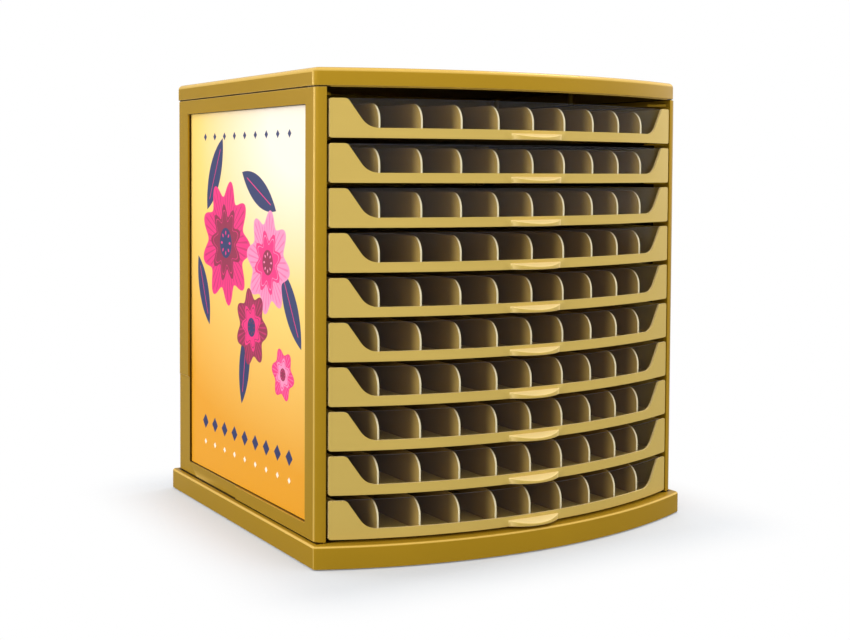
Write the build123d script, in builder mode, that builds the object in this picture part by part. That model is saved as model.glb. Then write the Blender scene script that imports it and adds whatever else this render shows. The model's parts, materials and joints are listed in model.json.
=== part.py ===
from build123d import *

import math
import os

# Counter-top thread display stand: a moulded cabinet with ten bowed drawers.
# Millimetres, +Z up, the front looks along -Y, the origin is on the surface
# that it stands on, in the middle of the plinth's outer length and width.

# Cabinet
cabinet_width = 423.0
cabinet_depth = 361.0
wall_thickness = 9.5
wall_corner_radius = 9.0
front_bow = 43.0
back_thickness = 3.0

# Plinth
plinth_height = 22.5
plinth_overhang = 5.0
plinth_bow = 48.0
plinth_wall = 3.0
plinth_corner_radius = 4.0
plinth_top_radius = 2.4
foot_step = 1.0
foot_radius = 10.0
foot_height = 3.0
foot_edge_radius = 0.5
foot_inset = 24.0
foot_pad_overlap = 1.5

# Lid
lid_height = 18.0
lid_overhang = 0.6
lid_wall = 3.0
lid_top_radius = 5.0
seam_width = 1.5
seam_height = 1.1
peg_radius = 2.4
peg_length = 9.0
peg_boss_radius = 4.2
peg_boss_overlap = 1.5
peg_end_distance = 22.0
pegs_per_side = 3

# Drawer rows
drawer_count = 10
drawer_pitch = 41.0
front_height = 36.0
gap_below_drawers = 3.0
gap_above_drawers = 10.0

# Drawer front
front_thickness = 3.0
front_side_gap = 2.4
front_proud = 1.0
band_height = 9.2
ear_width = 15.0
ear_slope_angle = 57.0
ear_corner_radius = 4.5
notch_radius = 18.0
front_corner_radius = 2.0
front_edge_radius = 0.9
ledge_thickness = 1.0
ledge_depth = 5.0
ledge_end_inset = 50.0
pull_width = 57.0
pull_reach = 10.5
pull_root_height = 6.0
pull_tip_height = 2.4
pull_edge_radius = 0.9
front_root = 1.5

# Window strip
window_thickness = 1.5
window_play = 0.2
window_top_drop = 0.2

# Tray
tray_side_gap = 8.0
tray_wall = 2.0
tray_floor = 2.0
tray_side_drop = 0.5
tray_rear_drop = 3.0
tray_lip_height = 5.5
tray_closing_gap = 1.0
tray_front_play = 0.1
slot_depth = 0.8

# Dividers
compartment_count = 10
divider_thickness = 2.2
divider_play = 0.2
divider_top_drop = 3.5
divider_nose_radius = 16.0

# Runners and travel
runner_reach = 14.0
runner_thickness = 2.5
runner_gap = 0.3
runner_front_inset = 6.0
drawer_travel = 260.0
stop_lug_length = 10.0
stop_lug_gap = 0.6
stop_lug_height = 6.0
stop_lug_rise = 14.0
stop_lug_root = 1.0
stop_play = 0.3

# Print panels in the sides
panel_top_margin = 15.0
panel_bottom_margin = 14.5
panel_front_margin = 25.0
panel_rear_margin = 34.0
panel_corner_radius = 1.0
panel_bevel = 1.8
panel_bevel_angle = 45.0
card_depth = 4.0
card_thickness = 1.0
card_play = 0.4
back_play = 0.3
wall_skin = 2.0

# Screws
screw_radius = 1.75
screw_hole_play = 0.35
screw_pilot_play = 0.05
screw_head_radius = 3.5
screw_head_height = 2.2
screw_head_round = 1.3
screw_tip_chamfer = 0.8
screw_cross_width = 1.0
screw_cross_length = 3.8
screw_cross_depth = 1.2
plinth_screw_length = 12.0
plinth_screws_per_side = 3
back_screw_length = 10.0
back_screws_per_side = 4
screw_end_distance = 30.0
back_flange_width = 14.5
back_flange_thickness = 3.0
back_boss_radius = 3.8
back_boss_length = 8.0

# Distance within which two places count as the same
tiny = 0.01

# Places worked out from the sizes
body_y = plinth_bow / 2
body_front = body_y - cabinet_depth / 2
body_rear = body_y + cabinet_depth / 2
side_x = cabinet_width / 2
opening_half = side_x - wall_thickness
drawers_height = (drawer_count - 1) * drawer_pitch + front_height
body_height = gap_below_drawers + drawers_height + gap_above_drawers
body_top = plinth_height + body_height

front_half = opening_half - front_side_gap
front_end_y = body_front - front_proud
front_radius = (front_half**2 + front_bow**2) / (2 * front_bow)
front_centre_y = front_end_y - front_bow + front_radius

tray_half = opening_half - tray_side_gap
tray_inner_half = tray_half - tray_wall
back_inner_y = body_rear - back_thickness
flange_front_y = back_inner_y - back_flange_thickness
boss_front_y = flange_front_y - back_boss_length
tray_rear_y = boss_front_y - tray_closing_gap
lip_front_inset = front_thickness + window_play + window_thickness + window_play
lip_rear_inset = lip_front_inset + tray_wall
tray_bottom = ledge_thickness
floor_top = tray_bottom + tray_floor
slot_bottom = floor_top - slot_depth
divider_pitch = 2 * tray_inner_half / compartment_count
divider_x = [(i - compartment_count / 2) * divider_pitch for i in range(1, compartment_count)]

panel_front_y = body_front + panel_front_margin
panel_rear_y = body_rear - panel_rear_margin
panel_bottom_z = plinth_height + panel_bottom_margin
panel_top_z = body_top - panel_top_margin
recess_depth = card_depth + card_thickness
pocket_x = side_x - recess_depth - wall_skin
runner_inner_x = opening_half - runner_reach
runner_front_y = body_front + runner_front_inset
rail_screw_x = side_x - wall_thickness / 2
peg_x = side_x - wall_thickness / 2
stop_lug_y = panel_front_y + drawer_travel + stop_play
stop_lug_tip_x = pocket_x - stop_lug_gap


def drawer_bottom(row):
    """Height of a drawer front's lower edge; row 1 is the top drawer."""
    return plinth_height + gap_below_drawers + (drawer_count - row) * drawer_pitch


def arc_y(x, inset):
    """Place along Y of the drawer front's bow, an inset behind its face."""
    return front_centre_y - math.sqrt((front_radius - inset) ** 2 - x**2)


def spread(low, high, count):
    """Evenly spaced values from low to high, both included."""
    return [low + (high - low) * i / (count - 1) for i in range(count)]


def bowed_plan(half_width, inset, rear_y):
    """Plan of a piece with a bowed front: straight sides and a straight rear."""
    with BuildSketch(mode=Mode.PRIVATE) as plan:
        with BuildLine():
            left = (-half_width, arc_y(half_width, inset))
            right = (half_width, arc_y(half_width, inset))
            ThreePointArc(left, (0, arc_y(0, inset)), right)
            Polyline(right, (half_width, rear_y), (-half_width, rear_y), left)
        make_face()
    return plan.sketch


def bowed_strip(half_width, front_inset, rear_inset):
    """Plan of a curved strip between two insets behind the front's face."""
    with BuildSketch(mode=Mode.PRIVATE) as plan:
        add(bowed_plan(half_width, front_inset, body_y))
        add(bowed_plan(half_width, rear_inset, body_y), mode=Mode.SUBTRACT)
    return plan.sketch


def screw(length):
    """Pan-head screw, its head's seat on z = 0 and its shank down along -Z."""
    with BuildPart(mode=Mode.PRIVATE) as one:
        with BuildSketch(Plane.XY):
            Circle(screw_head_radius)
        extrude(amount=screw_head_height)
        fillet(one.edges().group_by(Axis.Z)[-1], screw_head_round)
        with BuildSketch(Plane.XY):
            Circle(screw_radius)
        extrude(amount=-length)
        chamfer(one.edges().group_by(Axis.Z)[0], screw_tip_chamfer)
        with BuildSketch(Plane.XY.offset(screw_head_height - screw_cross_depth)):
            Rectangle(screw_cross_length, screw_cross_width)
            Rectangle(screw_cross_width, screw_cross_length)
        extrude(amount=screw_cross_depth, mode=Mode.SUBTRACT)
    return one.part


def save(piece, name):
    """Label a finished piece and write its STEP file."""
    piece.label = name
    export_step(piece, f"parts/{name}.step")


os.makedirs("parts", exist_ok=True)

# Places of the screws and pegs, each used by the piece and by what it enters
first_screw_y = body_front + screw_end_distance
last_screw_y = body_rear - screw_end_distance
plinth_screw_places = [
    (side * rail_screw_x, y)
    for side in (-1, 1)
    for y in spread(first_screw_y, last_screw_y, plinth_screws_per_side)
]
first_screw_z = plinth_height + screw_end_distance
last_screw_z = body_top - screw_end_distance
back_screw_x = opening_half - back_flange_width / 2
back_screw_places = [
    (side * back_screw_x, z)
    for side in (-1, 1)
    for z in spread(first_screw_z, last_screw_z, back_screws_per_side)
]
peg_places = [
    (side * peg_x, y)
    for side in (-1, 1)
    for y in spread(body_front + peg_end_distance, body_rear - peg_end_distance, pegs_per_side)
]

# Plinth: an open-bottomed moulding with a bowed front and a pad over each foot
plinth_half = side_x + plinth_overhang
plinth_rear = body_rear + plinth_overhang
plinth_end_y = body_front - plinth_overhang
plinth_nose_y = plinth_end_y - plinth_bow
foot_places = [
    (-side_x + foot_inset, body_front + foot_inset),
    (side_x - foot_inset, body_front + foot_inset),
    (-side_x + foot_inset, body_rear - foot_inset),
    (side_x - foot_inset, body_rear - foot_inset),
]
with BuildPart() as plinth:
    with BuildSketch(Plane.XY.offset(foot_step)) as plinth_outline:
        with BuildLine():
            ThreePointArc((-plinth_half, plinth_end_y), (0, plinth_nose_y), (plinth_half, plinth_end_y))
            Polyline(
                (plinth_half, plinth_end_y),
                (plinth_half, plinth_rear),
                (-plinth_half, plinth_rear),
                (-plinth_half, plinth_end_y),
            )
        make_face()
        fillet(plinth_outline.vertices(), plinth_corner_radius)
    extrude(amount=plinth_height - foot_step)
    fillet(plinth.faces().sort_by(Axis.Z)[-1].edges(), plinth_top_radius)
    with BuildSketch(Plane.XY.offset(foot_step)):
        offset(plinth_outline.sketch, amount=-plinth_wall)
    extrude(amount=plinth_height - foot_step - plinth_wall, mode=Mode.SUBTRACT)
    with BuildSketch(Plane.XY.offset(foot_height)):
        with Locations(*foot_places):
            Circle(foot_radius + plinth_wall)
    extrude(amount=plinth_height - foot_height - plinth_wall + foot_pad_overlap)
    with BuildSketch(Plane.XY.offset(plinth_height)):
        with Locations(*plinth_screw_places):
            Circle(screw_radius + screw_hole_play)
    extrude(amount=-plinth_wall, mode=Mode.SUBTRACT)
save(plinth.part, "plinth")

with BuildPart() as rubber_feet:
    with BuildSketch(Plane.XY):
        with Locations(*foot_places):
            Circle(foot_radius)
    extrude(amount=foot_height)
    fillet(rubber_feet.edges().group_by(Axis.Z)[0], foot_edge_radius)
save(rubber_feet.part, "rubber_feet")

# Lid: a shallow cap with its own bowed front and pegs that press into the sides
lid_half = side_x + lid_overhang
with BuildPart() as lid:
    with BuildSketch(Plane.XY.offset(body_top)) as lid_outline:
        add(bowed_plan(lid_half, 0, body_rear + lid_overhang))
        fillet(lid_outline.vertices(), wall_corner_radius)
    extrude(amount=lid_height)
    fillet(lid.faces().sort_by(Axis.Z)[-1].edges(), lid_top_radius)
    with BuildSketch(Plane.XY.offset(body_top)):
        offset(lid_outline.sketch, amount=-lid_wall)
    extrude(amount=lid_height - lid_wall, mode=Mode.SUBTRACT)
    with BuildSketch(Plane.XY.offset(body_top)):
        add(lid_outline.sketch)
        offset(lid_outline.sketch, amount=-seam_width, mode=Mode.SUBTRACT)
    extrude(amount=seam_height, mode=Mode.SUBTRACT)
    with BuildSketch(Plane.XY.offset(body_top)):
        with Locations(*peg_places):
            Circle(peg_boss_radius)
    extrude(amount=lid_height - lid_wall + peg_boss_overlap)
    with BuildSketch(Plane.XY.offset(body_top)):
        with Locations(*peg_places):
            Circle(peg_radius)
    extrude(amount=-peg_length)
save(lid.part, "lid")


def side_wall(side):
    """Side wall with rounded posts, a panel recess outside and runners inside."""
    outer = side * side_x
    rail_screws = [place for place in plinth_screw_places if place[0] * side > 0]
    back_places = [place for place in back_screw_places if place[0] * side > 0]
    pegs = [place for place in peg_places if place[0] * side > 0]
    with BuildPart() as wall:
        with Locations((outer - side * wall_thickness / 2, body_y, plinth_height + body_height / 2)):
            Box(wall_thickness, cabinet_depth, body_height)
        corners = wall.edges().filter_by(Axis.Z).sort_by(lambda edge: -side * edge.center().X)[:2]
        fillet(corners, wall_corner_radius)
        # seam over the plinth
        foot_face = wall.faces().sort_by(Axis.Z)[0]
        with BuildSketch(Plane.XY.offset(plinth_height)):
            add(foot_face)
            offset(foot_face, amount=-seam_width, mode=Mode.SUBTRACT)
        extrude(amount=seam_height, mode=Mode.SUBTRACT)
        # rear flange for the back panel, with a boss behind each screw
        flange_low = min(side * opening_half, side * (opening_half - back_flange_width))
        with BuildSketch(Plane.XY.offset(plinth_height)):
            with Locations((flange_low, flange_front_y)):
                Rectangle(back_flange_width, back_flange_thickness, align=(Align.MIN, Align.MIN))
        extrude(amount=body_height)
        with BuildSketch(Plane.XZ.offset(-flange_front_y)):
            with Locations(*back_places):
                Circle(back_boss_radius)
        extrude(amount=back_boss_length)
        # runners, one under each drawer and one over the top drawer
        for row in range(0, drawer_count + 1):
            runner_top = drawer_bottom(row) + tray_bottom - runner_gap
            with BuildSketch(Plane.XY.offset(runner_top - runner_thickness)):
                with BuildLine():
                    Polyline(
                        (side * opening_half, runner_front_y),
                        (side * runner_inner_x, runner_front_y + runner_reach),
                        (side * runner_inner_x, flange_front_y),
                        (side * opening_half, flange_front_y),
                        close=True,
                    )
                make_face()
            extrude(amount=runner_thickness)
        # recess for the print card
        with BuildSketch(Plane.YZ.offset(outer)) as recess:
            with Locations(((panel_front_y + panel_rear_y) / 2, (panel_bottom_z + panel_top_z) / 2)):
                Rectangle(panel_rear_y - panel_front_y, panel_top_z - panel_bottom_z)
            fillet(recess.vertices(), panel_corner_radius)
        extrude(amount=-side * recess_depth, mode=Mode.SUBTRACT)
        with BuildSketch(Plane.YZ.offset(outer)):
            offset(recess.sketch, amount=panel_bevel)
        extrude(amount=-side * panel_bevel, taper=panel_bevel_angle, mode=Mode.SUBTRACT)
        # pockets between the runners, so that the wall keeps an even thickness
        for row in range(1, drawer_count + 1):
            low = max(drawer_bottom(row) + tray_bottom - runner_gap, panel_bottom_z)
            above = drawer_bottom(row - 1) + tray_bottom - runner_gap - runner_thickness
            high = min(above, panel_top_z)
            pocket_middle = ((pocket_x + opening_half) / 2 * side, (panel_front_y + panel_rear_y) / 2)
            with BuildSketch(Plane.XY.offset(low)):
                with Locations(pocket_middle):
                    Rectangle(pocket_x - opening_half, panel_rear_y - panel_front_y)
            extrude(amount=high - low, mode=Mode.SUBTRACT)
        # holes for the lid's pegs, the plinth screws and the back screws
        with BuildSketch(Plane.XY.offset(body_top)):
            with Locations(*pegs):
                Circle(peg_radius + screw_pilot_play)
        extrude(amount=-peg_length - screw_pilot_play, mode=Mode.SUBTRACT)
        with BuildSketch(Plane.XY.offset(plinth_height)):
            with Locations(*rail_screws):
                Circle(screw_radius + screw_pilot_play)
        extrude(amount=plinth_screw_length, mode=Mode.SUBTRACT)
        with BuildSketch(Plane.XZ.offset(-back_inner_y)):
            with Locations(*back_places):
                Circle(screw_radius + screw_pilot_play)
        extrude(amount=back_screw_length, mode=Mode.SUBTRACT)
    return wall.part


save(side_wall(-1), "left_side_wall")
save(side_wall(1), "right_side_wall")

with BuildPart() as back_panel:
    with BuildSketch(Plane.XZ.offset(-body_rear)):
        with Locations((0, plinth_height + body_height / 2)):
            Rectangle(2 * (opening_half - back_play), body_height)
        with Locations(*back_screw_places):
            Circle(screw_radius + screw_hole_play, mode=Mode.SUBTRACT)
    extrude(amount=back_thickness)
save(back_panel.part, "back_panel")

with BuildPart() as back_screws:
    with Locations(*[Plane((x, body_rear, z), z_dir=(0, 1, 0)) for x, z in back_screw_places]):
        add(screw(back_thickness + back_screw_length - screw_pilot_play))
save(back_screws.part, "back_screws")

with BuildPart() as plinth_screws:
    seat_z = plinth_height - plinth_wall
    with Locations(*[Plane((x, y, seat_z), z_dir=(0, 0, -1)) for x, y in plinth_screw_places]):
        add(screw(plinth_wall + plinth_screw_length - screw_pilot_play))
save(plinth_screws.part, "plinth_screws")


def print_card(side):
    """Printed card that lies on the floor of a side's recess."""
    with BuildPart() as card:
        with BuildSketch(Plane.YZ.offset(side * (side_x - card_depth))) as face:
            with Locations(((panel_front_y + panel_rear_y) / 2, (panel_bottom_z + panel_top_z) / 2)):
                Rectangle(
                    panel_rear_y - panel_front_y - 2 * card_play,
                    panel_top_z - panel_bottom_z - 2 * card_play,
                )
            fillet(face.vertices(), panel_corner_radius)
        extrude(amount=-side * card_thickness)
    return card.part


save(print_card(-1), "left_print_card")
save(print_card(1), "right_print_card")

# Drawer pieces, modelled once with the front's lower edge on z = 0
# Finger pull: a lens-shaped lip whose top slopes down to its front edge
pull_tip_y = arc_y(0, 0) - pull_reach
pull_root_y = arc_y(pull_width / 2, front_root)
profile_front_y = pull_tip_y - pull_edge_radius
pull_radius = ((pull_width / 2) ** 2 + pull_reach**2) / (2 * pull_reach)
with BuildPart() as finger_pull:
    with BuildSketch(Plane.XY):
        with Locations((0, pull_tip_y + pull_radius)):
            Circle(pull_radius)
        add(bowed_plan(front_half, front_root, body_rear), mode=Mode.SUBTRACT)
    extrude(amount=pull_root_height)
    with BuildSketch(Plane.YZ):
        with BuildLine():
            Polyline(
                (profile_front_y, 0),
                (pull_root_y, 0),
                (pull_root_y, pull_root_height),
                (arc_y(0, 0), pull_root_height),
                (profile_front_y, pull_tip_height),
                close=True,
            )
        make_face()
    extrude(amount=pull_width, both=True, mode=Mode.INTERSECT)
    pull_face = finger_pull.faces().filter_by(GeomType.CYLINDER).sort_by(Axis.Y)[0]
    fillet(pull_face.edges().filter_by(Axis.Z, reverse=True), pull_edge_radius)

# Drawer front: a bowed fascia with a wide notch, a ledge behind it and the finger pull
ear_top_x = front_half - ear_width
slope_run = (front_height - band_height) / math.tan(math.radians(ear_slope_angle))
ledge_half = front_half - ledge_end_inset
with BuildPart() as drawer_front:
    with BuildSketch(Plane.XY):
        add(bowed_strip(front_half, 0, front_thickness))
    extrude(amount=front_height)
    with BuildSketch(Plane.XZ.offset(-body_y)) as elevation:
        with BuildLine():
            Polyline(
                (-front_half, 0),
                (front_half, 0),
                (front_half, front_height),
                (ear_top_x, front_height),
                (ear_top_x - slope_run, band_height),
                (slope_run - ear_top_x, band_height),
                (-ear_top_x, front_height),
                (-front_half, front_height),
                close=True,
            )
        make_face()
        fillet(elevation.vertices().group_by(Axis.Y)[1], notch_radius)
        ear_corners = elevation.vertices().filter_by(lambda v: abs(abs(v.X) - ear_top_x) < tiny)
        fillet(ear_corners, ear_corner_radius)
        end_corners = elevation.vertices().filter_by(lambda v: abs(abs(v.X) - front_half) < tiny)
        fillet(end_corners, front_corner_radius)
    extrude(amount=cabinet_depth, mode=Mode.INTERSECT)
    face = drawer_front.faces().filter_by(GeomType.CYLINDER).sort_by(lambda f: f.area)[-1]
    fillet(face.edges(), front_edge_radius)
    # ledge that carries the window strip and the tray's front edge
    with BuildSketch(Plane.XY):
        add(bowed_strip(ledge_half, front_thickness - front_root, front_thickness + ledge_depth))
    extrude(amount=ledge_thickness)
    add(finger_pull.part)

with BuildPart() as window:
    with BuildSketch(Plane.XY.offset(ledge_thickness)):
        window_inset = front_thickness + window_play
        add(bowed_strip(tray_inner_half - window_play, window_inset, window_inset + window_thickness))
    extrude(amount=front_height - window_top_drop - ledge_thickness)

with BuildPart() as tray:
    side_top = front_height - tray_side_drop
    rear_top = front_height - tray_rear_drop
    with BuildSketch(Plane.XY.offset(tray_bottom)):
        add(bowed_plan(tray_half, front_thickness + tray_front_play, tray_rear_y))
    extrude(amount=side_top - tray_bottom)
    fillet(tray.edges().filter_by(Axis.Z).group_by(Axis.Y)[-1], tray_wall)
    with BuildSketch(Plane.XY.offset(floor_top)):
        add(bowed_plan(tray_inner_half, lip_rear_inset, tray_rear_y - tray_wall))
    extrude(amount=side_top - floor_top, mode=Mode.SUBTRACT)
    with BuildSketch(Plane.XY.offset(tray_bottom)):
        add(bowed_strip(tray_inner_half, 0, lip_front_inset))
    extrude(amount=side_top - tray_bottom, mode=Mode.SUBTRACT)
    with BuildSketch(Plane.XY.offset(tray_bottom + tray_lip_height)):
        add(bowed_strip(tray_inner_half, 0, lip_rear_inset))
    extrude(amount=side_top, mode=Mode.SUBTRACT)
    with BuildSketch(Plane.XY.offset(rear_top)):
        with Locations((0, tray_rear_y)):
            Rectangle(2 * tray_inner_half, 2 * tray_wall)
    extrude(amount=side_top - rear_top, mode=Mode.SUBTRACT)
    # slots that hold the dividers, in the floor and in the rear wall
    with BuildSketch(Plane.XY.offset(slot_bottom)):
        with Locations(*[(x, tray_rear_y - tray_wall + slot_depth) for x in divider_x]):
            slot_width = divider_thickness + divider_play
            Rectangle(slot_width, cabinet_depth + front_bow, align=(Align.CENTER, Align.MAX))
        add(bowed_plan(tray_inner_half, lip_rear_inset, body_rear), mode=Mode.INTERSECT)
    extrude(amount=side_top, mode=Mode.SUBTRACT)
    # catches on the sides that stop against the cabinet's front posts
    with BuildSketch(Plane.XY.offset(stop_lug_rise)):
        for side in (-1, 1):
            with BuildLine():
                Polyline(
                    (side * (tray_half - stop_lug_root), stop_lug_y),
                    (side * stop_lug_tip_x, stop_lug_y),
                    (side * tray_half, stop_lug_y + stop_lug_length),
                    (side * (tray_half - stop_lug_root), stop_lug_y + stop_lug_length),
                    close=True,
                )
            make_face()
    extrude(amount=stop_lug_height)

with BuildPart() as dividers:
    divider_top = front_height - divider_top_drop
    divider_rear = tray_rear_y - tray_wall + slot_depth - divider_play
    for x in divider_x:
        nose_y = arc_y(abs(x) + divider_thickness / 2, lip_rear_inset) + divider_play
        with BuildSketch(Plane.YZ.offset(x - divider_thickness / 2)) as plate:
            with BuildLine():
                Polyline(
                    (nose_y, slot_bottom),
                    (divider_rear, slot_bottom),
                    (divider_rear, divider_top),
                    (nose_y, divider_top),
                    close=True,
                )
            make_face()
            nose = plate.vertices().group_by(Axis.X)[0].sort_by(Axis.Y)[-1]
            fillet(nose, divider_nose_radius)
        extrude(amount=divider_thickness)

# Each row gets its own copy of the four drawer pieces
drawer_pieces = {"front": drawer_front, "window": window, "tray": tray, "dividers": dividers}
for row in range(1, drawer_count + 1):
    for name, piece in drawer_pieces.items():
        with BuildPart() as placed:
            with Locations((0, 0, drawer_bottom(row))):
                add(piece.part)
        save(placed.part, f"drawer_{row:02d}_{name}")
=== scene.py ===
"""Looks, light and camera for the ten-drawer thread display stand, in metres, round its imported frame."""

import json
import math

import bmesh
import bpy
from mathutils import Matrix, Vector

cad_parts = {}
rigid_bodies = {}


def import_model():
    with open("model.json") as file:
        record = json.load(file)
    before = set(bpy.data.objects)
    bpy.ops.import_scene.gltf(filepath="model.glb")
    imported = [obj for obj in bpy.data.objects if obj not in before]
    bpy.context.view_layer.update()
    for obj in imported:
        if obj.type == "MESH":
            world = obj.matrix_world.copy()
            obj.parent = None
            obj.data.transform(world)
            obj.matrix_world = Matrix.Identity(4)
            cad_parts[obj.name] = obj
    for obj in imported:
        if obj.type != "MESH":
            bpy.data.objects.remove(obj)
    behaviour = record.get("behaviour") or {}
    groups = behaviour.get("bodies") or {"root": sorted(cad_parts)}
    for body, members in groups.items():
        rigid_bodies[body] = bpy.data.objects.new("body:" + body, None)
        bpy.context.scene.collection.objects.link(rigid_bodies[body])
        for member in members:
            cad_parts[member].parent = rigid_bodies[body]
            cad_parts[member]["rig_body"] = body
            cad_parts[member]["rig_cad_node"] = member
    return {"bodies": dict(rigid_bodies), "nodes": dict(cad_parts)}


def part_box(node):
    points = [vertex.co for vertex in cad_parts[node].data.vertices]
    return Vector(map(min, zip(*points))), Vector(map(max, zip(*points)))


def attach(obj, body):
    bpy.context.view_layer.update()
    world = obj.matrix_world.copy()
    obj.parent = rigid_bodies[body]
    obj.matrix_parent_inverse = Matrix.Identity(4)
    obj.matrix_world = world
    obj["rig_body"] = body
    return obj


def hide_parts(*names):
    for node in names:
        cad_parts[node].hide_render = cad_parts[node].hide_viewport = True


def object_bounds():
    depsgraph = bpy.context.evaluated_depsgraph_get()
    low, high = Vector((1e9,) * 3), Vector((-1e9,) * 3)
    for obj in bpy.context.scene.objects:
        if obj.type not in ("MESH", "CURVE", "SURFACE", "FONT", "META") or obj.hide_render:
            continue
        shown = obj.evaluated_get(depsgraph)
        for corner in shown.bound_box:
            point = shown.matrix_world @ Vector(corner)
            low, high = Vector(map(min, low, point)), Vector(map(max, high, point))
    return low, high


bl_info = {
    "name": "Thread display stand",
    "version": (1, 0, 0),
    "blender": (4, 5, 0),
    "location": "3D View > Sidebar > Thread Stand",
    "description": "Finishes the ten-drawer thread display stand and sets it up for its picture",
    "category": "Object",
}

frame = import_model()
cad_low, cad_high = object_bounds()

MM = 0.001
ROWS = sorted(name for name in frame["bodies"] if name.startswith("drawer_"))
CARD_LOW, CARD_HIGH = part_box("left_print_card")
WALL_LOW, WALL_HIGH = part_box("left_side_wall")
CARD_WIDTH = (CARD_HIGH.y - CARD_LOW.y) / MM
CARD_HEIGHT = (CARD_HIGH.z - CARD_LOW.z) / MM

# where painted shade darkens the cabinet: its seams, and the recess round each card below the outermost
# lip
SEAM_HEIGHT = 1.1 * MM
SEAM_LIP = 0.2 * MM
SEAM_BLUR = 0.05 * MM
RECESS_LIP = 1.9 * MM
RECESS_RIM = 0.7 * MM
PLACE_BLUR = 0.1 * MM

# arc of the drawer fronts in metres, with the dividers' front edges a little behind it, and how far behind
# the window the dividers' painted light reaches
BOW_RADIUS = 0.4848
BOW_CENTRE_Y = 0.2843
DIVIDER_INSET = 0.0071
NEAR_WINDOW = 10 * MM

# edge work: angles in degrees, and the least upright share of a level face's normal
CABINET_CREASE = 35
DRAWER_CREASE = 50
SHARP_EDGE = 60
FLAT_WITHIN = 0.2
LEVEL_FACE = 0.9
ROUND_SEGMENTS = 2

# floor: its colour, the shadow's reach in metres and its share, and the light that the paper returns
FLOOR_SIZE = 12
PAPER = (0.60, 0.62, 0.65)
WHITE = (1, 1, 1)
SHADOW_REACH = 0.11
SHADOW_SHARE = 0.85
FLOOR_BOUNCE = 0.35

# studio lights, all turned to the stand's middle; their power is set in the view's settings
STAND_MIDDLE = (0, 0, 0.23)
LAMPS = {
    "key": {"place": (-2.0, -0.2, 0.9), "wide": 1.2, "high": 1.2},
    "front": {"place": (-0.5, -1.7, 1.65), "wide": 1.4, "high": 1.0},
    "top": {"place": (1.2, 0.15, 2.05), "wide": 0.6, "high": 0.5},
    "strip": {"place": (-1.6, 1.25, 0.3), "wide": 0.2, "high": 1.0},
}


def from_screen(red, green, blue):
    """Linear colour of a screen colour given in 0 to 255."""
    shares = [value / 255 for value in (red, green, blue)]
    return tuple(s / 12.92 if s <= 0.04045 else ((s + 0.055) / 1.055) ** 2.4 for s in shares)


def colour(name, description, red, green, blue):
    """A colour property whose default is written as a screen colour."""
    return bpy.props.FloatVectorProperty(
        name=name,
        description=description,
        subtype="COLOR",
        min=0,
        max=1,
        default=from_screen(red, green, blue),
    )


def length(name, description, default):
    """A length property in metres."""
    return bpy.props.FloatProperty(
        name=name, description=description, subtype="DISTANCE", unit="LENGTH", default=default
    )


def angle(name, description, degrees):
    """An angle property whose default is written in degrees."""
    return bpy.props.FloatProperty(
        name=name, description=description, subtype="ANGLE", default=math.radians(degrees)
    )


def number(name, description, default):
    """A plain number property."""
    return bpy.props.FloatProperty(name=name, description=description, default=default)


class StandSizes(bpy.types.PropertyGroup):
    """Small edge rounds that moulding leaves, and the reach of the weld."""

    cabinet_edge: length("Cabinet edge", "Round on the cabinet mouldings' outer rims", 0.6 * MM)
    shortest_rim: length("Shortest rim", "Shortest straight run of a rim that is rounded", 0.5 * MM)
    drawer_edge: length("Drawer edge", "Round on the tray's and front's sharp edges", 0.45 * MM)
    divider_edge: length("Divider edge", "Round on the dividers' edges", 0.6 * MM)
    window_edge: length("Window edge", "Round on the window strip's edges", 0.25 * MM)
    card_edge: length("Card edge", "Round on the printed card's edges", 0.1 * MM)
    weld: length("Weld", "Distance within which a copy's loose points are joined", 0.01 * MM)


class StandColours(bpy.types.PropertyGroup):
    """Colours of the stand's finishes, with the painted highlights and painted shade among them."""

    cabinet: colour("Cabinet", "Gold plastic of the lid, walls and plinth", 158, 123, 28)
    # Painted highlight on the gold plastic's rounded edges and post corners
    cabinet_rim_highlight: colour("Cabinet rim", "Rounded edges of the gold plastic", 200, 164, 80)
    # Painted shade deep in the cabinet's seams and in the recess round each card
    painted_shade: colour("Joint", "Dust and shade deep in the cabinet's joints", 52, 34, 8)
    sheen: colour("Sheen", "Tint of the gold plastic's gloss", 255, 218, 120)
    drawer: colour("Drawer", "Pale gold plastic of the fronts and trays", 190, 163, 86)
    # Painted highlight on the edges of the fronts and pulls
    drawer_rim_highlight: colour("Drawer rim", "Light edges of the fronts and pulls", 232, 206, 140)
    # One divider plastic painted as shade far behind the window and as light just behind it
    divider_painted_shade: colour("Divider", "Divider plates, far behind the window", 138, 110, 60)
    divider_painted_light: colour("Divider front", "Divider plates just behind the window", 224, 190, 104)
    # Painted highlight on the divider plates' front edges
    divider_edge: colour("Divider edge", "Cream front edges of the divider plates", 250, 240, 200)
    window: colour("Window", "Smoke tint of the window strips", 52, 49, 52)
    # Painted sheen on the window strips' cut edges
    window_rim_sheen: colour("Window rim", "Frosted rim of the window strips", 110, 112, 124)
    glow: colour("Card glow", "Lightest part of the card's ground, and small diamonds", 247, 234, 214)
    straw: colour("Card straw", "Upper part of the card's ground", 240, 204, 107)
    orange: colour("Card orange", "Lower part of the card's ground", 226, 154, 10)
    blush: colour("Blush", "Palest petals", 250, 140, 180)
    pink: colour("Pink", "Bright petals and the leaves' ribs", 232, 28, 118)
    wine: colour("Wine", "Darkest petals", 140, 14, 62)
    navy: colour("Navy", "Leaves, hearts of flowers and diamonds", 30, 42, 92)
    rubber: colour("Rubber", "Feet", 34, 34, 36)
    steel: colour("Steel", "Screws", 176, 176, 172)


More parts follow.
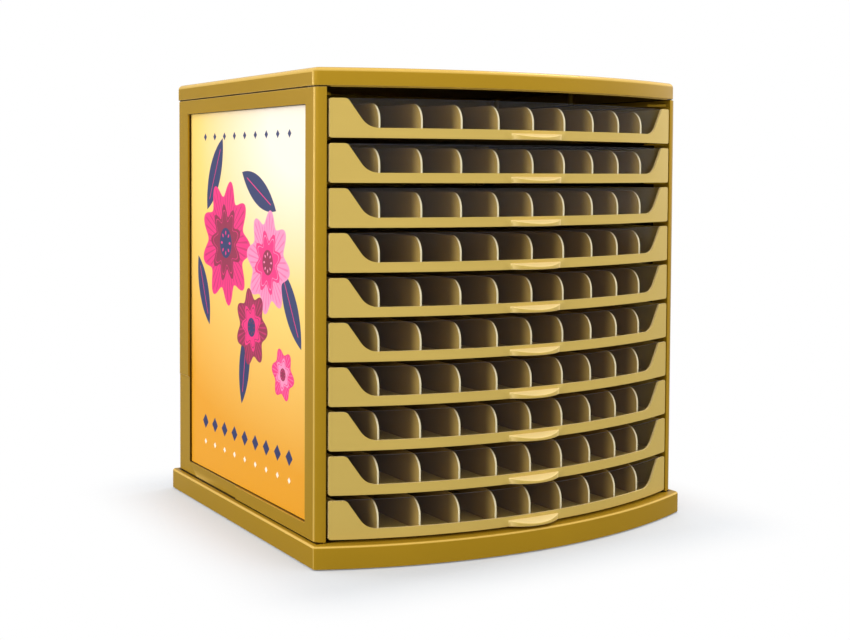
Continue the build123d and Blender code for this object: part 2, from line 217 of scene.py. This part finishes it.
class StandView(bpy.types.PropertyGroup):
    """Camera and light of the picture."""

    place: bpy.props.FloatVectorProperty(
        name="Camera place",
        description="Where the camera stands",
        subtype="TRANSLATION",
        unit="LENGTH",
        default=(-0.7480, -1.2559, 0.3671),
    )
    yaw: angle("Yaw", "Turn of the camera to the right of straight ahead", 30.59)
    pitch: angle("Pitch", "Tilt of the camera below level", 2.409)
    roll: angle("Roll", "Turn of the camera about its own axis", 0.325)
    focal: bpy.props.FloatProperty(
        name="Focal length",
        description="Focal length on a 36 mm wide sensor",
        subtype="DISTANCE_CAMERA",
        default=57.12,
    )
    drop: number("Drop", "Vertical shift of the camera, as a share of the picture's width", -0.1118)
    sky: number("Sky", "Strength of the even light overhead", 1.36)
    horizon: number("Horizon", "Strength of the even light at eye level, from before the stand", 2.1)
    rear: number("Rear", "Strength of the even light at eye level, from behind the stand", 0.3)
    key: number("Key", "Power of the large light at the left, in watts", 7.5)
    front: number("Front", "Power of the light above the front, in watts", 1.5)
    top: number("Top", "Power of the light above the right rear, in watts", 14.0)
    strip: number("Strip", "Power of the tall light that the front posts mirror, in watts", 13.5)


class Wire:
    """A shader value; Python's operators on it add Math nodes."""

    def __init__(self, finish, socket):
        self.finish = finish
        self.socket = socket

    def maths(self, operation, *values):
        """A Math node on the given values."""
        return self.finish.node("Math", {"operation": operation}, dict(enumerate(values)))

    def __add__(self, other):
        return self.maths("ADD", self, other)

    def __sub__(self, other):
        return self.maths("SUBTRACT", self, other)

    def __rsub__(self, other):
        return self.maths("SUBTRACT", other, self)

    def __mul__(self, other):
        return self.maths("MULTIPLY", self, other)

    def __truediv__(self, other):
        return self.maths("DIVIDE", self, other)

    def __abs__(self):
        return self.maths("ABSOLUTE", self)

    __radd__ = __add__

    def root(self):
        """Square root."""
        return self.maths("SQRT", self)

    def above_zero(self):
        """The value, or zero where it is negative."""
        return self.maths("MAXIMUM", self, 0.0)

    def cosine(self):
        """Cosine."""
        return self.maths("COSINE", self)

    def repeat(self, period):
        """Remainder in one period, centred on zero."""
        return self.maths("WRAP", self, period / 2, -period / 2)

    def below(self, limit, blur):
        """1 where the value is below a limit and 0 above it, with a soft step."""
        inputs = {0: self, 1: limit - blur, 2: limit + blur, 3: 1.0, 4: 0.0}
        return self.finish.node("MapRange", {"interpolation_type": "SMOOTHSTEP"}, inputs)

    def above(self, limit, blur):
        """1 where the value is above a limit and 0 below it, with a soft step."""
        return 1 - self.below(limit, blur)


class Finish:
    """A material in the making; one method adds any node."""

    def __init__(self, name, owner=None):
        self.owner = owner or bpy.data.materials.new(name)
        self.owner.use_nodes = True
        self.tree = self.owner.node_tree
        self.tree.nodes.clear()

    def node(self, kind, settings=None, inputs=None, output=0):
        """Add a node, set it, feed its inputs and give one of its outputs."""
        made = self.tree.nodes.new("ShaderNode" + kind)
        for key, value in (settings or {}).items():
            if key == "stops":
                self.set_stops(made.color_ramp, value)
            else:
                setattr(made, key, value)
        for key, value in (inputs or {}).items():
            self.feed(made.inputs[key], value)
        return Wire(self, made.outputs[output]) if len(made.outputs) else None

    def set_stops(self, ramp, stops):
        """Give a ramp its stops, as pairs of place and colour."""
        while len(ramp.elements) < len(stops):
            ramp.elements.new(1.0)
        for element, (place, shade) in zip(ramp.elements, stops):
            element.position = place
            element.color = (*shade, 1.0)

    def feed(self, socket, value):
        """Link a wire to a socket, or set its value."""
        if isinstance(value, Wire):
            self.tree.links.new(value.socket, socket)
        elif socket.type == "RGBA" and len(value) == 3:
            socket.default_value = (*value, 1.0)
        else:
            socket.default_value = value

    def place(self):
        """Object coordinates, in metres."""
        return self.node("TexCoord", output="Object")

    def parts(self, vector):
        """A vector's three values."""
        split = self.node("SeparateXYZ", inputs={0: vector})
        outputs = split.socket.node.outputs
        return [Wire(self, outputs[axis]) for axis in "XYZ"]

    def noise(self, scale, detail, stretch=(1, 1, 1)):
        """Noise on the piece's own place, with so many grains to the metre."""
        vector = self.node("Mapping", inputs={"Vector": self.place(), "Scale": stretch})
        return self.node("TexNoise", inputs={"Vector": vector, "Scale": scale, "Detail": detail})

    def mix(self, share, first, second):
        """Mix of two colours."""
        return self.node("Mix", {"data_type": "RGBA"}, {0: share, 6: first, 7: second}, 2)

    def shade(self, colour_in, amount):
        """A colour made darker or lighter by a value near 1."""
        return self.node("VectorMath", {"operation": "SCALE"}, {0: colour_in, "Scale": amount})

    def bump(self, height, depth):
        """Normal of a surface whose height in 0 to 1 spans a depth in metres."""
        return self.node("Bump", inputs={"Strength": 1.0, "Distance": depth, "Height": height})

    def close(self, shader):
        """Link the last shader to the output."""
        self.node("OutputMaterial", inputs={"Surface": shader})
        return self.owner


def moulded_plastic(finish, colour_in, sheen, gloss, pearl, shine=0.3):
    """Satin moulded plastic: slow drift of the pigment, fine fleck and orange peel."""
    peel_depth = 0.012 * MM
    drift = finish.noise(9, detail=3, stretch=(1, 1, 0.4))
    flow = finish.noise(70, detail=2, stretch=(0.15, 0.15, 1))
    fleck = finish.noise(2600, detail=1)
    tone = 0.90 + drift * 0.12 + flow * 0.05 + fleck * 0.05
    peel = finish.noise(900, detail=3)
    smear = finish.noise(24, detail=4)
    shader = finish.node(
        "BsdfPrincipled",
        inputs={
            "Base Color": finish.shade(colour_in, tone),
            "Roughness": gloss + smear * 0.08,
            "Metallic": pearl,
            "Specular IOR Level": shine,
            "Specular Tint": sheen,
            "Normal": finish.bump(peel, peel_depth),
        },
    )
    return finish.close(shader)


def cabinet_plastic(name, colours):
    """Gold plastic with a painted highlight on its rounded edges and at the turn of the posts, and painted
    shade deep in its seams and card recesses.
    """
    finish = Finish(name)
    normal = finish.parts(finish.node("NewGeometry", output="Normal"))
    # painted highlight: lighter on fillets between level and upright, and at the turn of the posts
    tilt = abs(normal[2])
    round_highlight = tilt.above(0.3, blur=0.15) * tilt.below(0.86, blur=0.1)
    beside = abs(normal[0])
    post_highlight = beside.above(0.93, blur=0.04) * beside.below(0.992, blur=0.006)
    shade = finish.mix(round_highlight + post_highlight, colours.cabinet, colours.cabinet_rim_highlight)
    across, along, up = finish.parts(finish.place())
    half_width = -WALL_LOW.x
    half_depth = (WALL_HIGH.y - WALL_LOW.y) / 2
    under_wall = (
        abs(across).below(half_width - SEAM_LIP, PLACE_BLUR)
        * abs(along - (WALL_LOW.y + WALL_HIGH.y) / 2).below(half_depth - SEAM_LIP, PLACE_BLUR)
    )
    # painted shade in the seams under the lid and over the plinth, inside the wall's outline
    for seam_low in (WALL_LOW.z, WALL_HIGH.z):
        from_seam = abs(up - (seam_low + SEAM_HEIGHT / 2))
        seam_shade = from_seam.below(SEAM_HEIGHT / 2 + SEAM_LIP, SEAM_BLUR)
        shade = finish.mix(seam_shade * under_wall, shade, colours.painted_shade)
    middle = (CARD_LOW + CARD_HIGH) / 2
    half = (CARD_HIGH - CARD_LOW) / 2
    # painted shade on the recess round each card
    recess_shade = (
        abs(along - middle.y).below(half.y + RECESS_RIM, PLACE_BLUR)
        * abs(up - middle.z).below(half.z + RECESS_RIM, PLACE_BLUR)
        * abs(across).below(half_width - RECESS_LIP, PLACE_BLUR)
    )
    shade = finish.mix(recess_shade, shade, colours.painted_shade)
    return moulded_plastic(finish, shade, colours.sheen, gloss=0.26, pearl=0.08, shine=0.18)


def rim_highlight_plastic(name, colours):
    """Pale gold plastic with a painted highlight on the edges and faces that turn away from the front."""
    finish = Finish(name)
    facing = finish.parts(finish.node("NewGeometry", output="Normal"))[1] * -1
    # painted highlight wherever the normal turns away from the front
    shade = finish.mix(facing.below(0.8, blur=0.1), colours.drawer, colours.drawer_rim_highlight)
    return moulded_plastic(finish, shade, colours.sheen, gloss=0.34, pearl=0.06)


def divider_plastic(name, colours):
    """Plastic with painted light close behind the window that fades to painted shade deeper in, and a
    painted highlight on the plates' front edges.
    """
    finish = Finish(name)
    across, along, _ = finish.parts(finish.place())
    along = along - BOW_CENTRE_Y
    # painted light close behind the window, fading to painted shade deeper in
    depth = BOW_RADIUS - DIVIDER_INSET - (across * across + along * along).root()
    near = depth.below(NEAR_WINDOW, blur=NEAR_WINDOW)
    shade = finish.mix(near, colours.divider_painted_shade, colours.divider_painted_light)
    # painted highlight on the front edges that face the window
    facing = finish.parts(finish.node("NewGeometry", output="Normal"))[1] * -1
    shade = finish.mix(facing.above(0.45, blur=0.2), shade, colours.divider_edge)
    return moulded_plastic(finish, shade, colours.sheen, gloss=0.3, pearl=0.0)


def smoked_window(name, tint, rim):
    """Smoky clear plastic strip whose cut edges are rougher and less clear and carry a painted bluish-grey
    sheen.
    """
    finish = Finish(name)
    normal = finish.parts(finish.node("NewGeometry", output="Normal"))
    # cut edges: rougher, less clear, and coloured with a painted sheen
    on_rim = abs(normal[2]).above(0.6, blur=0.2)
    haze = finish.noise(40, detail=3, stretch=(1, 1, 0.3))
    scuffs = finish.noise(500, detail=2, stretch=(1, 1, 0.05))
    shader = finish.node(
        "BsdfPrincipled",
        inputs={
            "Base Color": finish.mix(on_rim, tint, rim),
            "Roughness": 0.05 + scuffs * 0.06 + on_rim * 0.3,
            "IOR": 1.49,
            "Alpha": 0.06 + haze * 0.05 + on_rim * 0.5,
        },
    )
    return finish.close(shader)


def steel_screw(name, tone):
    """Plated steel with turning marks."""
    finish = Finish(name)
    marks = finish.noise(3000, detail=2)
    cloud = finish.noise(300, detail=2)
    shader = finish.node(
        "BsdfPrincipled",
        inputs={
            "Base Color": finish.shade(tone, 0.85 + cloud * 0.2),
            "Metallic": 1.0,
            "Roughness": 0.24 + marks * 0.14,
            "Normal": finish.bump(marks, 0.02 * MM),
        },
    )
    return finish.close(shader)


def foot_rubber(name, tone):
    """Matt rubber with a fine grain."""
    finish = Finish(name)
    grain = finish.noise(1500, detail=3)
    shader = finish.node(
        "BsdfPrincipled",
        inputs={
            "Base Color": finish.shade(tone, 0.8 + grain * 0.4),
            "Roughness": 0.7 + grain * 0.15,
            "Normal": finish.bump(grain, 0.05 * MM),
        },
    )
    return finish.close(shader)


class Print:
    """Artwork drawn on a card, in millimetres right and up from its lower left corner as seen."""

    def __init__(self, finish, side):
        self.finish = finish
        _, along, up = finish.parts(finish.place())
        across = CARD_HIGH.y - along if side < 0 else along - CARD_LOW.y
        self.x = across / MM
        self.y = (up - CARD_LOW.z) / MM
        self.paint = None

    def lay(self, mask, shade):
        """Print a colour where the mask is 1."""
        self.paint = self.finish.mix(mask, self.paint, shade)

    def polar(self, centre):
        """Distance and angle from a centre."""
        x = self.x - centre[0]
        y = self.y - centre[1]
        return (x * x + y * y).root(), self.x.maths("ARCTAN2", y, x)

    def ground(self, colours):
        """Ground that falls from a cream glow at the upper right to orange below."""
        glow_place = 0.95
        spread = 0.9
        fall = 1.9
        right = (self.x / CARD_WIDTH - glow_place) * spread
        up = (self.y / CARD_HEIGHT - glow_place) * fall
        far = (right * right + up * up).root()
        stops = [(0.12, colours.glow), (0.42, colours.straw), (0.85, colours.orange)]
        self.paint = self.finish.node("ValToRGB", {"stops": stops}, {0: far / fall})

    def flower(self, centre, radius, petals, turn, outer, inner, heart):
        """Round flower with two rings of petals, fine veins and a seeded heart."""
        outer_notch = 0.13
        inner_notch = 0.16
        inner_radius = radius * 0.62
        ring_radius = radius * 0.52
        heart_radius = radius * 0.24
        seed_place = 0.16
        seed_count = 8
        veins_per_petal = 5
        vein_ink = 0.45
        edge_blur = 0.4
        far, around = self.polar(centre)
        wave = (around * petals + turn).cosine()
        outline = far / (wave * outer_notch + (1 - outer_notch))
        self.lay(outline.below(radius, edge_blur), outer)
        vein = (around * petals * veins_per_petal + turn).cosine().below(-0.55, blur=0.3)
        inside = outline.below(radius * 0.93, blur=radius * 0.05)
        self.lay(vein * inside * vein_ink, inner)
        second = far / (1 - inner_notch - wave * inner_notch)
        self.lay(second.below(inner_radius, edge_blur), inner)
        self.lay(abs(second - ring_radius).below(0.6, blur=0.3), outer)
        self.lay(far.below(heart_radius, edge_blur), heart)
        off_ray = 0.5 - (around * seed_count).cosine() * 0.5
        off_ring = abs(far / radius - seed_place) * 9
        self.lay((off_ray + off_ring).below(0.32, blur=0.12), outer)

    def leaf(self, centre, reach, half_width, degrees, shade, rib):
        """Pointed leaf, the meeting of two circles, with a thin midrib."""
        turn = math.radians(degrees)
        x = self.x - centre[0]
        y = self.y - centre[1]
        along = x * math.cos(turn) + y * math.sin(turn)
        beside = y * math.cos(turn) - x * math.sin(turn)
        circle = (reach**2 + half_width**2) / (2 * half_width)
        off = abs(beside) + (circle - half_width)
        self.lay((along * along + off * off).root().below(circle, blur=0.3), shade)
        on_rib = abs(beside).below(0.5, blur=0.2) * abs(along).below(reach * 0.7, blur=1.0)
        self.lay(on_rib, rib)

    def diamonds(self, height, half_size, shade):
        """Row of small diamonds across the card."""
        pitch = 27
        half_row = 0.42 * CARD_WIDTH
        from_middle = self.x - CARD_WIDTH / 2
        beside = abs(from_middle.repeat(pitch))
        above = abs(self.y - height)
        in_row = abs(from_middle).below(half_row, blur=0.2)
        self.lay((beside + above).below(half_size, blur=0.3) * in_row, shade)


def printed_card(name, side, colours):
    """Card printed with flowers and leaves on a warm ground, under a thin gloss film."""
    finish = Finish(name)
    art = Print(finish, side)
    art.ground(colours)
    blush, pink, wine, navy = colours.blush, colours.pink, colours.wine, colours.navy
    leaves = (
        {"centre": (70, 322), "reach": 44, "half_width": 15, "degrees": 60},
        {"centre": (186, 306), "reach": 46, "half_width": 14, "degrees": -24},
        {"centre": (38, 196), "reach": 40, "half_width": 13, "degrees": -66},
        {"centre": (262, 196), "reach": 44, "half_width": 14, "degrees": -58},
        {"centre": (150, 128), "reach": 42, "half_width": 13, "degrees": -100},
    )
    for leaf in leaves:
        art.leaf(**leaf, shade=navy, rib=pink)
    art.flower((100, 250), radius=66, petals=9, turn=0.4, outer=pink, inner=wine, heart=navy)
    art.flower((208, 236), radius=52, petals=8, turn=1.1, outer=blush, inner=pink, heart=wine)
    art.flower((168, 168), radius=40, petals=7, turn=0.2, outer=wine, inner=pink, heart=navy)
    art.flower((244, 130), radius=26, petals=6, turn=0.9, outer=pink, inner=blush, heart=wine)
    art.diamonds(height=52, half_size=8, shade=navy)
    art.diamonds(height=30, half_size=3.2, shade=colours.glow)
    art.diamonds(height=362, half_size=4.2, shade=navy)
    fibre = finish.noise(1800, detail=3)
    shader = finish.node(
        "BsdfPrincipled",
        inputs={
            "Base Color": finish.shade(art.paint, 0.97 + fibre * 0.05),
            "Roughness": 0.38 + fibre * 0.08,
            "Specular IOR Level": 0.35,
            "Normal": finish.bump(fibre, 0.01 * MM),
        },
    )
    return finish.close(shader)


def select_only(piece):
    """Select one object alone and make it the active one."""
    bpy.ops.object.select_all(action="DESELECT")
    piece.select_set(True)
    bpy.context.view_layer.objects.active = piece


def welded_copy(node, name, weld):
    """Free copy of a CAD piece, its loose triangles joined into whole flat faces."""
    select_only(frame["nodes"][node])
    bpy.ops.object.duplicate()
    piece = bpy.context.active_object
    piece.name = name
    piece.data.name = name
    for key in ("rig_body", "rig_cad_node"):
        del piece[key]
    bpy.ops.object.parent_clear(type="CLEAR_KEEP_TRANSFORM")
    bpy.ops.mesh.customdata_custom_splitnormals_clear()
    bpy.ops.object.mode_set(mode="EDIT")
    bpy.ops.mesh.select_all(action="SELECT")
    bpy.ops.mesh.remove_doubles(threshold=weld)
    bpy.ops.mesh.dissolve_limited(angle_limit=math.radians(FLAT_WITHIN))
    bpy.ops.object.mode_set(mode="OBJECT")
    return piece


def outer_rims(piece, shortest):
    """Mark the sharp level edges of a moulding's outside, but none of its small holes."""
    shape = bmesh.new()
    shape.from_mesh(piece.data)
    mark = shape.edges.layers.float.new("bevel_weight_edge")
    for edge in shape.edges:
        normals = (face.normal for face in edge.link_faces)
        upright, flat = sorted(normals, key=lambda normal: abs(normal.z))
        middle = (edge.verts[0].co + edge.verts[1].co) / 2
        outward = upright.xy.dot(middle.xy) > 0
        sharp = edge.calc_face_angle_signed() > math.radians(SHARP_EDGE)
        if sharp and outward and abs(flat.z) > LEVEL_FACE and edge.calc_length() > shortest:
            edge[mark] = 1.0
    shape.to_mesh(piece.data)
    shape.free()


def rounded(piece, radius, **settings):
    """Round the edges of a piece that the bevel's settings pick."""
    select_only(piece)
    bpy.ops.object.modifier_add(type="BEVEL")
    bevel = piece.modifiers[-1]
    bevel.width = radius
    bevel.segments = ROUND_SEGMENTS
    bevel.harden_normals = True
    for key, value in settings.items():
        setattr(bevel, key, value)
    bpy.ops.object.modifier_apply(modifier=bevel.name)


def round_rims(piece, radius, shortest):
    """Round the outer rims of a moulding, each to the full radius."""
    outer_rims(piece, shortest)
    rounded(piece, radius, limit_method="WEIGHT", use_clamp_overlap=False)


def round_edges(piece, radius):
    """Round a piece's sharp edges as far as the space between them lets it."""
    rounded(
        piece,
        radius,
        limit_method="ANGLE",
        angle_limit=math.radians(SHARP_EDGE),
        use_clamp_overlap=True,
        miter_outer="MITER_ARC",
    )


def smooth(piece, degrees):
    """Shade a piece smooth where its faces meet at less than an angle."""
    select_only(piece)
    bpy.ops.object.shade_smooth_by_angle(angle=math.radians(degrees))


def paint(piece, material):
    """Give a piece one material."""
    piece.data.materials.clear()
    piece.data.materials.append(material)


def stand_for(piece, node, body):
    """Make a piece ride on a body, standing in for a CAD node that is hidden."""
    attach(piece, body)
    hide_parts(node)


def finished_copy(node, name, radius, weld):
    """Welded copy of a CAD piece with rounded edges and smooth shading."""
    piece = welded_copy(node, name, weld)
    smooth(piece, DRAWER_CREASE)
    round_edges(piece, radius)
    return piece


class STAND_OT_cabinet(bpy.types.Operator):
    """Finish the plinth, side walls, lid and back"""

    bl_idname = "stand.cabinet"
    bl_label = "Cabinet"

    def execute(self, context):
        sizes = context.scene.stand_sizes
        gold = cabinet_plastic("gold_plastic", context.scene.stand_colours)
        mouldings = {
            "plinth": "plinth_moulding",
            "left_side_wall": "left_wall_moulding",
            "right_side_wall": "right_wall_moulding",
            "lid": "lid_moulding",
        }
        for node, name in mouldings.items():
            piece = welded_copy(node, name, sizes.weld)
            smooth(piece, CABINET_CREASE)
            round_rims(piece, sizes.cabinet_edge, sizes.shortest_rim)
            paint(piece, gold)
            stand_for(piece, node, "cabinet")
        paint(frame["nodes"]["back_panel"], gold)
        return {"FINISHED"}


class STAND_OT_cards(bpy.types.Operator):
    """Print the two side cards"""

    bl_idname = "stand.cards"
    bl_label = "Side cards"

    def execute(self, context):
        sizes = context.scene.stand_sizes
        colours = context.scene.stand_colours
        for node, side in (("left_print_card", -1), ("right_print_card", 1)):
            piece = finished_copy(node, node + "_sheet", sizes.card_edge, sizes.weld)
            paint(piece, printed_card(node + "_ink", side, colours))
            stand_for(piece, node, "cabinet")
        return {"FINISHED"}


class STAND_OT_hardware(bpy.types.Operator):
    """Finish the feet and the screws"""

    bl_idname = "stand.hardware"
    bl_label = "Feet and screws"

    def execute(self, context):
        colours = context.scene.stand_colours
        paint(frame["nodes"]["rubber_feet"], foot_rubber("foot_rubber", colours.rubber))
        steel = steel_screw("screw_steel", colours.steel)
        for node in ("plinth_screws", "back_screws"):
            paint(frame["nodes"][node], steel)
        return {"FINISHED"}


class STAND_OT_drawers(bpy.types.Operator):
    """Finish the ten drawers: tray, front, window and dividers of each"""

    bl_idname = "stand.drawers"
    bl_label = "Drawers"

    def execute(self, context):
        sizes = context.scene.stand_sizes
        colours = context.scene.stand_colours
        pale_finish = Finish("pale_gold_plastic")
        pale = moulded_plastic(pale_finish, colours.drawer, colours.sheen, gloss=0.34, pearl=0.06)
        rim_highlit = rim_highlight_plastic("rimmed_gold_plastic", colours)
        cream = divider_plastic("cream_plastic", colours)
        smoke = smoked_window("smoked_window", colours.window, colours.window_rim_sheen)
        finishes = {
            "tray": ("shell", sizes.drawer_edge, pale, "drawer_plastic"),
            "front": ("fascia", sizes.drawer_edge, rim_highlit, "drawer_plastic"),
            "dividers": ("plates", sizes.divider_edge, cream, "drawer_plastic"),
            "window": ("pane", sizes.window_edge, smoke, "window_plastic"),
        }
        for row in ROWS:
            for kind, (word, edge, material, slot) in finishes.items():
                node = row + "_" + kind
                piece = finished_copy(node, row + "_" + word, edge, sizes.weld)
                paint(piece, material)
                stand_for(piece, node, row)
        return {"FINISHED"}


def softbox(name, place, wide, high, power):
    """Rectangular studio light at a place, turned to the stand."""
    lamp = bpy.data.lights.new(name, "AREA")
    lamp.shape = "RECTANGLE"
    lamp.size = wide
    lamp.size_y = high
    lamp.energy = power
    holder = bpy.data.objects.new(name, lamp)
    bpy.context.scene.collection.objects.link(holder)
    holder.location = place
    aim = Vector(STAND_MIDDLE) - Vector(place)
    holder.rotation_euler = aim.to_track_quat("-Z", "Y").to_euler()


class STAND_OT_stage(bpy.types.Operator):
    """Set up the floor, the light and the camera"""

    bl_idname = "stand.stage"
    bl_label = "Stage"

    def execute(self, context):
        view = context.scene.stand_view
        self.add_floor(context)
        self.add_world(context, view)
        self.add_lights(view)
        self.add_camera(context, view)
        context.scene.view_settings.view_transform = "Standard"
        return {"FINISHED"}

    def add_floor(self, context):
        """White floor that keeps the stand's shadow close round the plinth."""
        bpy.ops.object.select_all(action="DESELECT")
        bpy.ops.mesh.primitive_plane_add(size=FLOOR_SIZE, location=(0, 0, 0))
        floor = context.active_object
        floor.name = "floor"
        finish = Finish("floor_paper")
        across, along, _ = finish.parts(finish.place())
        beside = (abs(across) - cad_high[0]).above_zero()
        before = (abs(along) - cad_high[1]).above_zero()
        far = (beside * beside + before * before).root()
        near = far.below(SHADOW_REACH / 2, SHADOW_REACH / 2)
        camera = finish.node("LightPath", output="Is Camera Ray")
        tone = camera * (1 - FLOOR_BOUNCE) + FLOOR_BOUNCE
        paper = finish.shade(PAPER, tone)
        matt = finish.node("BsdfDiffuse", inputs={"Color": paper})
        white = finish.node("Emission", inputs={"Color": WHITE, "Strength": 1.0})
        share = camera * (1 - near * SHADOW_SHARE)
        both = finish.node("MixShader", inputs={0: share, 1: matt, 2: white})
        paint(floor, finish.close(both))

    def add_world(self, context, view):
        """Light that is dimmer behind the stand, white where the camera sees it."""
        world = bpy.data.worlds.new("studio")
        context.scene.world = world
        finish = Finish("studio", world)
        _, back, up = finish.parts(finish.node("TexCoord", output="Generated"))
        low = up.below(0.35, blur=0.25)
        level = back.below(0.35, blur=0.3) * (view.horizon - view.rear) + view.rear
        light = low * (level - view.sky) + view.sky
        camera = finish.node("LightPath", output="Is Camera Ray")
        strength = light.maths("MAXIMUM", light, camera)
        shader = finish.node("Background", inputs={"Color": WHITE, "Strength": strength})
        finish.node("OutputWorld", inputs={"Surface": shader})

    def add_lights(self, view):
        """Key at the left, lights above the front and the right rear, and a tall strip."""
        for name, lamp in LAMPS.items():
            softbox(name, power=getattr(view, name), **lamp)

    def add_camera(self, context, view):
        """Camera at the photograph's angle."""
        camera = bpy.data.objects.new("camera", bpy.data.cameras.new("camera"))
        context.scene.collection.objects.link(camera)
        turn = (
            Matrix.Rotation(-view.yaw, 4, "Z")
            @ Matrix.Rotation(math.pi / 2 - view.pitch, 4, "X")
            @ Matrix.Rotation(view.roll, 4, "Z")
        )
        camera.matrix_world = Matrix.Translation(view.place) @ turn
        camera.data.lens = view.focal
        camera.data.shift_y = view.drop
        context.scene.camera = camera


class STAND_PT_panel(bpy.types.Panel):
    """Sidebar panel with the stand's steps and settings"""

    bl_idname = "STAND_PT_panel"
    bl_label = "Thread Stand"
    bl_space_type = "VIEW_3D"
    bl_region_type = "UI"
    bl_category = "Thread Stand"

    def draw(self, context):
        for step in STEPS:
            self.layout.operator(step.bl_idname)
        scene = context.scene
        for group in (scene.stand_sizes, scene.stand_colours, scene.stand_view):
            box = self.layout.box()
            for key in group.__annotations__:
                box.prop(group, key)


STEPS = (
    STAND_OT_cabinet,
    STAND_OT_cards,
    STAND_OT_hardware,
    STAND_OT_drawers,
    STAND_OT_stage,
)
GROUPS = {"stand_sizes": StandSizes, "stand_colours": StandColours, "stand_view": StandView}


def register():
    """Register the groups, steps and panel."""
    for name, group in GROUPS.items():
        bpy.utils.register_class(group)
        setattr(bpy.types.Scene, name, bpy.props.PointerProperty(type=group))
    for step in (*STEPS, STAND_PT_panel):
        bpy.utils.register_class(step)


def unregister():
    """Undo what register did, last first."""
    for step in reversed((*STEPS, STAND_PT_panel)):
        bpy.utils.unregister_class(step)
    for name, group in reversed(GROUPS.items()):
        delattr(bpy.types.Scene, name)
        bpy.utils.unregister_class(group)


def main():
    """Run every step."""
    register()
    bpy.ops.stand.cabinet()
    bpy.ops.stand.cards()
    bpy.ops.stand.hardware()
    bpy.ops.stand.drawers()
    bpy.ops.stand.stage()


if __name__ == "__main__":
    main()
